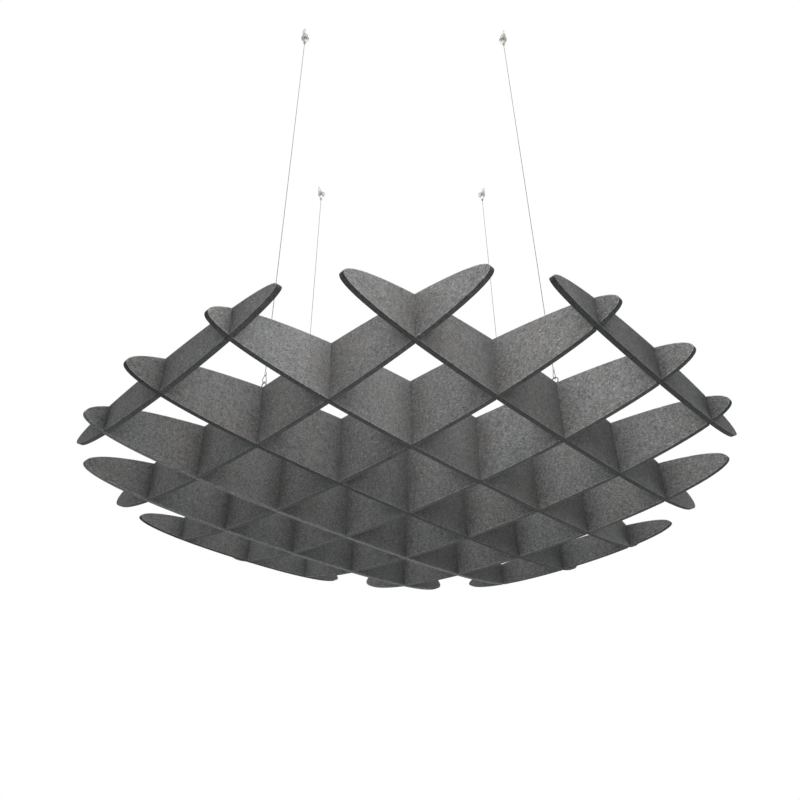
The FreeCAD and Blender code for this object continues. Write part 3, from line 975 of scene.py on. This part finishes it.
@dataclass(frozen=True)
class Hanger:
    """One hanger: ceiling cup, gripper, release plunger, wire with its ferrule, and screw eye."""

    number: int
    x: float
    y: float
    form: LensForm
    size: HangerSizes
    finishes: Finishes

    @property
    def plate_foot(self) -> float:
        """Return the height of the underside of the screw eye's plate."""
        return self.form.top(self.x, self.y) + self.size.plate_play

    @property
    def bar(self) -> float:
        """Return the height of the centre of the screw eye's upper bar."""
        return self.plate_foot + self.size.plate_thick + 2.0 * self.size.eye_radius

    @property
    def wire_length(self) -> float:
        """Return the length of the wire, which is more on X, where the lens hangs lower."""
        return self.size.long_wire if abs(self.x) > abs(self.y) else self.size.short_wire

    def node(self, stem: str) -> str:
        """Return the name of one of this hanger's CAD nodes."""
        return "%s_%d" % (stem, self.number)

    def settle(self, obj: Object, body: str, node: str = "") -> Object:
        """Let a piece ride on a body, and hide the CAD node that it stands for.

        Args:
            obj: The piece.
            body: The body's name without its number.
            node: The CAD node's name without its number, if the piece stands for one.

        Returns:
            The piece.
        """
        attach(obj, body if body in ("ceiling_fixings", "lattice") else self.node(body))
        if node:
            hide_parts(self.node(node))
        LOG.info("%s on %s", obj.name, body)
        return obj

    def turn(self, stem: str, shape: Turned, material: Material, base: float = 0.0) -> Object:
        """Return a shape turned round the hanger's own axis, with its heights counted from a base."""
        return shape.build(self.node(stem), (self.x, self.y, base), material)

    def route(self) -> list[Point2]:
        """List the wire's control points.

        Returns:
            Distance along X from the hanger's axis and height of each point.
        """
        s = self.size
        swell, draw, shoulder_share = 1.06, 0.9, 2.3
        straight, settled, mouth, gripped = 0.120, 0.012, 0.0005, 0.004
        neck = self.bar + s.loop_height
        low = self.bar - s.eye_bar - s.bar_gap - s.wire_radius
        side = s.loop_radius * swell
        far = s.strand * 0.5 + side * draw
        shoulder = low + shoulder_share * s.loop_radius
        return [(0.0, s.pivot + s.tail_rise), (0.0, neck + straight), (0.0, neck + settled),
                (0.0, neck - mouth), (-side, shoulder), (-side, low), (far, low), (far, shoulder),
                (s.strand, neck - mouth), (s.strand, neck + gripped),
                (s.strand, neck + s.ferrule_length + s.wire_end)]

    def build_wire(self) -> None:
        """Build the stranded wire and its crimped ferrule."""
        s = self.size
        curve = bpy.data.curves.new(self.node("steel_wire"), "CURVE")
        curve.dimensions = "3D"
        curve.bevel_depth = s.wire_radius
        curve.bevel_resolution = 3
        curve.resolution_u = 12
        curve.use_fill_caps = True
        curve.materials.append(self.finishes.rope)
        route = self.route()
        spline = curve.splines.new("NURBS")
        spline.points.add(len(route) - 1)
        for point, (aside, height) in zip(spline.points, route):
            point.co = (aside, 0.0, height, 1.0)
        spline.order_u = 3
        spline.use_endpoint_u = True
        wire = add_object(self.node("steel_wire"), curve)
        wire.location = (self.x, self.y, 0.0)
        self.settle(wire, "wire", "hanging_wire")
        ferrule = self.build_ferrule()
        self.wire_length

    def build_ferrule(self) -> Object:
        """Build the oval sleeve with the dents of its crimping tool.

        Returns:
            The object.
        """
        s = self.size
        around, rows, dents = 40, 37, 3
        chamfer_depth, chamfer_run = 0.0004, 0.0005
        dent_depth, dent_power, plain_end = 0.00028, 0.6, 0.08
        flat_side = 1e-6
        half = s.strand / 2.0
        foot = self.bar + s.loop_height
        verts = []
        for row in range(rows):
            share = row / (rows - 1)
            to_end = min(share, 1.0 - share)
            chamfer = chamfer_depth * max(0.0, 1.0 - to_end * s.ferrule_length / chamfer_run)
            radius = s.ferrule_radius - chamfer
            wave = max(0.0, -math.cos(share * FULL_TURN * dents))
            dent = dent_depth * wave ** dent_power if to_end > plain_end else 0.0
            for k in range(around):
                angle = FULL_TURN * k / around
                across = math.cos(angle)
                spread = math.copysign(half, across) if abs(across) > flat_side else 0.0
                verts.append((self.x + half + spread + radius * across,
                              self.y + (radius - dent) * math.sin(angle), foot + share * s.ferrule_length))
        obj = mesh_object(self.node("crimped_ferrule"), verts, ring_faces(rows, around),
                          self.finishes.ferrule)
        crease(obj, degrees=50.0)
        return self.settle(obj, "wire", "wire_ferrule")

    def build_eye(self) -> None:
        """Build the screw eye: ring, flared neck, foot plate and threaded shank."""
        s = self.size
        rim, bore = 0.0004, 0.0008
        flare = ((0.0032, 0.0), (0.0021, 0.0008), (0.0014, 0.0018), (bore, 0.0018))
        disc = ((bore, 0.0), (s.plate_radius - rim, 0.0), (s.plate_radius, rim),
                (s.plate_radius, s.plate_thick - rim), (s.plate_radius - rim, s.plate_thick))
        plate = Turned(disc + tuple((radius, s.plate_thick + rise) for radius, rise in flare), segments=48)
        rows, taper_from, taper_run = 220, 0.86, 0.15
        root, tip, plain_neck = (0.0003, 0.0002), 0.0002, 0.003
        shaft = [root]
        for k in range(rows + 1):
            share = k / rows
            taper = 1.0 - max(0.0, share - taper_from) / taper_run
            shaft.append((s.shank_radius * taper, -s.shank_length * share))
        shaft.append((tip, -s.shank_length))
        shank = Turned(tuple(shaft), segments=28, kind=Turning.THREADED, low=-s.shank_length,
                       high=-plain_neck, depth=0.0005, lead=0.0018)
        zinc, foot = self.finishes.zinc, self.plate_foot
        pieces = [self.turn("plate", plate, zinc, foot), self.turn("shank", shank, zinc, foot),
                  self.eye_ring()]
        obj = join(self.node("zinc_screw_eye"), pieces)
        self.settle(obj, "lattice", "screw_eye")

    def eye_ring(self) -> Object:
        """Build the ring, bent from one bar whose end meets the neck with a hairline gap.

        Returns:
            The object.
        """
        s = self.size
        bends, around, cut_share = 72, 18, 0.92
        gap = math.radians(4.0)
        centre = Vector((self.x, self.y, self.plate_foot + s.plate_thick + s.eye_radius))
        rings = []
        for k in range(bends + 1):
            turn = -math.pi / 2.0 + gap + (FULL_TURN - gap) * k / bends
            bar = s.eye_bar * (1.0 if k else cut_share)
            out = Vector((0.0, math.cos(turn), math.sin(turn)))
            rings.append((centre + out * s.eye_radius, out * bar, Vector((bar, 0.0, 0.0))))
        return tube("ring", rings, around, self.finishes.zinc)

    def build_cup(self) -> None:
        """Build the ceiling cup: chamfered foot, fluted grip band and spherical seat."""
        s = self.size
        chamfer, corner_share, mouth = 0.0012, 0.35, 0.0012
        band_top, band_foot, depth, seat_steps = -0.0100, -0.0190, 0.0004, 6
        groove = ((0.0, 0.0010), (depth, 0.0006), (depth, 0.0001), (0.0, -0.0002))
        corner = chamfer * corner_share
        wall = [(s.cup_radius, s.cup_top)]
        wall += [(s.cup_radius - inward, band_top + rise) for inward, rise in groove]
        wall += [(s.cup_radius - inward, band_foot - rise) for inward, rise in groove[::-1]]
        wall += [(s.cup_radius, s.cup_foot + chamfer), (s.cup_radius - corner, s.cup_foot + corner),
                 (s.cup_radius - chamfer, s.cup_foot), (s.barrel_radius + mouth, s.cup_foot)]
        for k in range(seat_steps + 1):
            height = s.cup_foot + s.cup_floor * k / seat_steps
            wall.append((math.sqrt(s.seat_radius ** 2 - (height - s.pivot) ** 2), height))
        wall += [(s.cup_room, s.cup_foot + s.cup_floor), (s.cup_room, s.cup_top)]
        cup = Turned(tuple(wall), segments=144, kind=Turning.FLUTED, low=band_foot, high=band_top, count=48,
                     depth=0.00032)
        obj = self.turn("ceiling_cup_shell", cup, self.finishes.nickel)
        self.settle(obj, "ceiling_fixings", "ceiling_cup")

    def build_gripper(self) -> None:
        """Build the gripper: ball head, neck, fluted barrel and its bores."""
        s = self.size
        steps, crown, throat = 16, math.radians(80.0), math.radians(-60.0)
        edge, fillet, step, step_rise, mouth = 0.0006, 0.0008, 0.0003, 0.0018, 0.0001
        flutes_foot, flutes_top = s.barrel_foot + 0.0020, s.barrel_foot + 0.0083
        wall, waist = s.barrel_radius, s.barrel_radius - step
        profile = []
        for k in range(steps + 1):
            angle = crown + (throat - crown) * k / steps
            profile.append((s.ball_radius * math.cos(angle), s.pivot + s.ball_radius * math.sin(angle)))
        profile += [(s.neck_radius, s.barrel_top + fillet), (s.neck_radius + edge, s.barrel_top),
                    (wall - edge, s.barrel_top), (wall, s.barrel_top - edge)]
        groove = ((0.0, 0.0), (0.00035, 0.00025), (0.00035, 0.00055), (0.0, 0.0008))
        for line in (0.0032, 0.0046):
            profile += [(wall - inward, s.barrel_top - line - drop) for inward, drop in groove]
        profile += [(wall, s.barrel_foot + 0.0082), (wall, s.barrel_foot + 0.0022),
                    (waist, s.barrel_foot + step_rise), (waist, s.barrel_foot + edge),
                    (waist - edge, s.barrel_foot), (s.stem_bore, s.barrel_foot), (s.stem_bore, s.cone_foot),
                    (s.cone_foot_radius, s.cone_foot), (s.chamber_radius, s.cone_top),
                    (s.chamber_radius, s.chamber_top), (s.wire_bore, s.chamber_top),
                    (s.wire_bore, s.pivot + s.ball_radius * math.sin(crown) + mouth)]
        body = Turned(tuple(profile), segments=96, kind=Turning.FLUTED, low=flutes_foot, high=flutes_top,
                      count=32, depth=0.00028)
        obj = self.turn("gripper_body", body, self.finishes.turned)
        self.settle(obj, "gripper", "gripper")

    def build_spring(self) -> None:
        """Build the gripper's coil spring with closed end turns."""
        s = self.size
        steps, around = 24, 10
        length = s.spring_top - s.spring_foot
        closed = 2.0 * s.spring_wire * s.spring_end_turns
        open_turns = s.spring_turns - 2.0 * s.spring_end_turns
        open_rise = length - 2.0 * s.spring_wire - 2.0 * closed
        up = Vector((0.0, 0.0, s.spring_wire))
        rings = []
        for ring in range(int(s.spring_turns * steps) + 1):
            turn = ring / steps
            low = min(turn / s.spring_end_turns, 1.0)
            middle = min(max((turn - s.spring_end_turns) / open_turns, 0.0), 1.0)
            high = max((turn - s.spring_end_turns - open_turns) / s.spring_end_turns, 0.0)
            height = s.spring_foot + s.spring_wire + (low + high) * closed + middle * open_rise
            out = Vector((math.cos(FULL_TURN * turn), math.sin(FULL_TURN * turn), 0.0))
            rings.append((Vector((self.x, self.y, height)) + out * s.spring_radius, out * s.spring_wire, up))
        obj = tube(self.node("coil_spring"), rings, around, self.finishes.spring)
        self.settle(obj, "gripper", "gripper_spring")
        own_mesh(obj)

    def build_plunger(self) -> None:
        """Build the release plunger: collar, stem and fluted button, bored for the wire."""
        s = self.size
        edge, edge_rise, chamfer, chamfer_rise = 0.0005, 0.0003, 0.0012, 0.0008
        fillet, fillet_rise, mouth, flutes_share = 0.0003, 0.0002, 0.0004, 0.9
        flutes_foot = s.button_foot + 0.0007
        collar_top, collar_foot = s.cone_foot + s.collar_thick, s.cone_foot + s.collar_gap
        profile = ((s.wire_bore, collar_top), (s.collar_radius, collar_top), (s.collar_radius, collar_foot),
                   (s.stem_radius, collar_foot), (s.stem_radius, s.button_top + fillet_rise),
                   (s.stem_radius + fillet, s.button_top), (s.button_radius - edge, s.button_top),
                   (s.button_radius, s.button_top - edge), (s.button_radius, s.button_foot + chamfer_rise),
                   (s.button_radius - edge, s.button_foot + edge_rise),
                   (s.button_radius - chamfer, s.button_foot), (s.wire_bore + mouth, s.button_foot),
                   (s.wire_bore, s.button_foot + mouth))
        body = Turned(profile, segments=96, kind=Turning.FLUTED, low=flutes_foot,
                      high=s.button_top - edge * flutes_share, count=24, depth=0.00022)
        obj = self.turn("release_button", body, self.finishes.turned)
        self.settle(obj, "release", "release_plunger")

    def dress_nodes(self, nodes: dict[str, Object]) -> None:
        """Give the CAD nodes that stay their finish.

        Args:
            nodes: The frame's nodes by name.
        """
        for stem, material in (("ceiling_base", self.finishes.nickel), ("grip_balls", self.finishes.balls)):
            node = nodes[self.node(stem)]
            for slot in node.material_slots:
                slot.link = "OBJECT"
                slot.material = material
            for face in node.data.polygons:
                face.use_smooth = stem != "ceiling_base"

    def build(self, nodes: dict[str, Object]) -> None:
        """Build every piece of the hanger.

        Args:
            nodes: The frame's nodes by name.
        """
        self.build_wire()
        self.build_eye()
        self.build_cup()
        self.build_gripper()
        self.build_spring()
        self.build_plunger()
        self.dress_nodes(nodes)


def join(name: str, pieces: Sequence[Object]) -> Object:
    """Join mesh objects into one.

    Args:
        name: The joined piece's name.
        pieces: The objects, all in the row frame.

    Returns:
        The joined object.
    """
    work = bmesh.new()
    for piece in pieces:
        work.from_mesh(piece.data)
    mesh = bpy.data.meshes.new(name)
    work.to_mesh(mesh)
    work.free()
    mesh.materials.append(pieces[0].data.materials[0])
    for piece in pieces:
        old = piece.data
        bpy.data.objects.remove(piece)
        bpy.data.meshes.remove(old)
    return add_object(name, mesh)


# The studio


@dataclass(frozen=True)
class Lamp:
    """One soft square lamp."""

    name: str
    place: Point3
    side: float
    power: float
    colour: Colour = WHITE
    aim: Point3 = (0.0, 0.0, -1.56)

    def build(self) -> None:
        """Add the lamp to the scene."""
        data = bpy.data.lights.new(self.name, "AREA")
        data.shape = "RECTANGLE"
        data.size = data.size_y = self.side
        data.energy = self.power
        data.color = self.colour
        obj = add_object(self.name, data)
        obj.location = self.place
        obj.rotation_euler = (Vector(self.aim) - Vector(self.place)).to_track_quat("-Z", "Y").to_euler()
        obj.visible_camera = False


@dataclass(frozen=True)
class Studio:
    """Plain pale floor, white background and soft lamps."""

    floor: float = -3.5
    floor_radius: float = 11.0
    floor_spokes: int = 96
    floor_colour: Colour = (0.60, 0.60, 0.60)
    bounce_colour: Colour = (0.06, 0.06, 0.06)
    floor_glow: float = 0.52
    fade_start: float = 2.5
    fade_end: float = 9.0
    sky: float = 0.30
    ground: float = 0.0
    horizon: float = 0.05
    lamps: tuple[Lamp, ...] = (
        Lamp("key_front_top", (-0.636, -0.636, -0.910), 0.7, 6.9),
        Lamp("key_near", (-0.707, -0.707, -1.310), 0.4, 0.5),
        Lamp("fill_front", (-0.990, -0.990, -2.060), 0.7, 5.2),
        Lamp("top", (0.0, 0.0, 1.040), 2.0, 28.0),
        Lamp("fill_right", (1.697, -1.697, -1.760), 1.2, 12.2, (0.96, 1.0, 1.01)),
        Lamp("fill_left_low", (-1.626, 0.919, -2.560), 1.2, 5.6, (0.95, 1.0, 1.04)),
        Lamp("fill_left_high", (-1.485, 1.061, -0.360), 1.2, 4.9),
        Lamp("fill_back_low", (1.273, 1.273, -2.560), 1.2, 7.6, (1.08, 1.0, 0.92)),
        Lamp("fill_below", (0.0, 0.0, -3.160), 1.2, 11.5, (0.92, 1.01, 1.04)),
    )

    def build(self) -> None:
        """Add the floor, the world and the lamps."""
        self.build_floor()
        self.build_world()
        for lamp in self.lamps:
            lamp.build()

    def build_floor(self) -> None:
        """Add a round floor that takes the shadow, turns white at its rim and throws little light up."""
        mat = bpy.data.materials.new("pale_floor")
        g = emptied(mat)
        axes = g.add("ShaderNodeSeparateXYZ", _0=g.place()).outputs
        squares = g.math("ADD", g.math("POWER", axes["X"], 2.0), g.math("POWER", axes["Y"], 2.0))
        fade = g.span(g.math("SQRT", squares), self.fade_start, self.fade_end)
        seen = g.seen()
        pale = g.blend(fade, opaque(self.floor_colour), opaque(BLACK))
        shown = g.blend(seen, opaque(self.bounce_colour), pale)
        diffuse = g.add("ShaderNodeBsdfDiffuse", Color=shown).outputs[0]
        rise = g.math("MULTIPLY_ADD", fade, 1.0 - self.floor_glow, self.floor_glow)
        level = g.math("MULTIPLY", seen, rise)
        glow = g.add("ShaderNodeEmission", Color=opaque(WHITE), Strength=level).outputs[0]
        lit = g.add("ShaderNodeAddShader", _0=diffuse, _1=glow).outputs[0]
        clear = g.add("ShaderNodeBsdfTransparent").outputs[0]
        below = g.add("ShaderNodeNewGeometry").outputs["Backfacing"]
        mixed = g.add("ShaderNodeMixShader", _0=below, _1=lit, _2=clear).outputs[0]
        g.add("ShaderNodeOutputMaterial", Surface=mixed)
        turns = [FULL_TURN * k / self.floor_spokes for k in range(self.floor_spokes)]
        verts = [(self.floor_radius * math.cos(turn), self.floor_radius * math.sin(turn), self.floor)
                 for turn in turns]
        mesh = bpy.data.meshes.new("floor")
        mesh.from_pydata(verts, [], [tuple(range(self.floor_spokes))])
        mesh.materials.append(mat)
        add_object("floor", mesh)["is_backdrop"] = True

    def build_world(self) -> None:
        """Make the world white where it is seen, and a soft sky over a dim ground where it lights."""
        world = bpy.data.worlds.new("studio")
        bpy.context.scene.world = world
        g = emptied(world)
        axes = g.add("ShaderNodeSeparateXYZ", _0=g.add("ShaderNodeTexCoord").outputs["Generated"]).outputs
        level = g.span(axes["Z"], -self.horizon, self.horizon, self.ground, self.sky)
        light = g.add("ShaderNodeBackground", Color=opaque(WHITE), Strength=level).outputs[0]
        white = g.add("ShaderNodeBackground", Color=opaque(WHITE), Strength=1.0).outputs[0]
        mixed = g.add("ShaderNodeMixShader", _0=g.seen(), _1=light, _2=white).outputs[0]
        g.add("ShaderNodeOutputWorld", Surface=mixed)


@dataclass(frozen=True)
class ViewPoint:
    """Camera that looks up at the baffle from below its near rim."""

    place: Point3 = (-1.2380, -1.1752, -2.4122)
    heading: float = 44.1435
    pitch: float = 33.20
    roll: float = -0.440
    lens: float = 32.050
    clip_start: float = 0.05
    clip_end: float = 100.0

    def build(self) -> None:
        """Add the camera and make it the scene's."""
        data = bpy.data.cameras.new("camera")
        data.lens = self.lens
        data.clip_start = self.clip_start
        data.clip_end = self.clip_end
        obj = add_object("camera", data)
        turn = Matrix.Rotation(math.radians(self.heading - 90.0), 4, "Z")
        tilt = Matrix.Rotation(math.radians(90.0 + self.pitch), 4, "X")
        lean = Matrix.Rotation(math.radians(self.roll), 4, "Z")
        obj.matrix_world = Matrix.Translation(self.place) @ turn @ tilt @ lean
        bpy.context.scene.camera = obj


def main() -> None:
    """Load the frame, build the baffle and the studio, and note both sizes."""
    logging.basicConfig(level=logging.INFO, format="%(name)s: %(message)s")
    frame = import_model()
    cad_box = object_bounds()
    form = LensForm()
    size = HangerSizes()
    ViewPoint().build()
    finishes = Finishes()
    for number, (dx, dy) in enumerate(((0, -1), (1, 0), (0, 1), (-1, 0)), start=1):
        Hanger(number, dx * size.reach, dy * size.reach, form, size, finishes).build(frame["nodes"])
    FeltLattice(form).build(finishes)
    Studio().build()
    bpy.context.scene.view_settings.view_transform = "Standard"
    bpy.context.view_layer.update()
    seen_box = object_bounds()
    corners = {"cad": [list(corner) for corner in cad_box], "visual": [list(corner) for corner in seen_box]}
    LOG.info("CAD box %s, visual box %s", corners["cad"], corners["visual"])


if __name__ == "__main__":
    main()
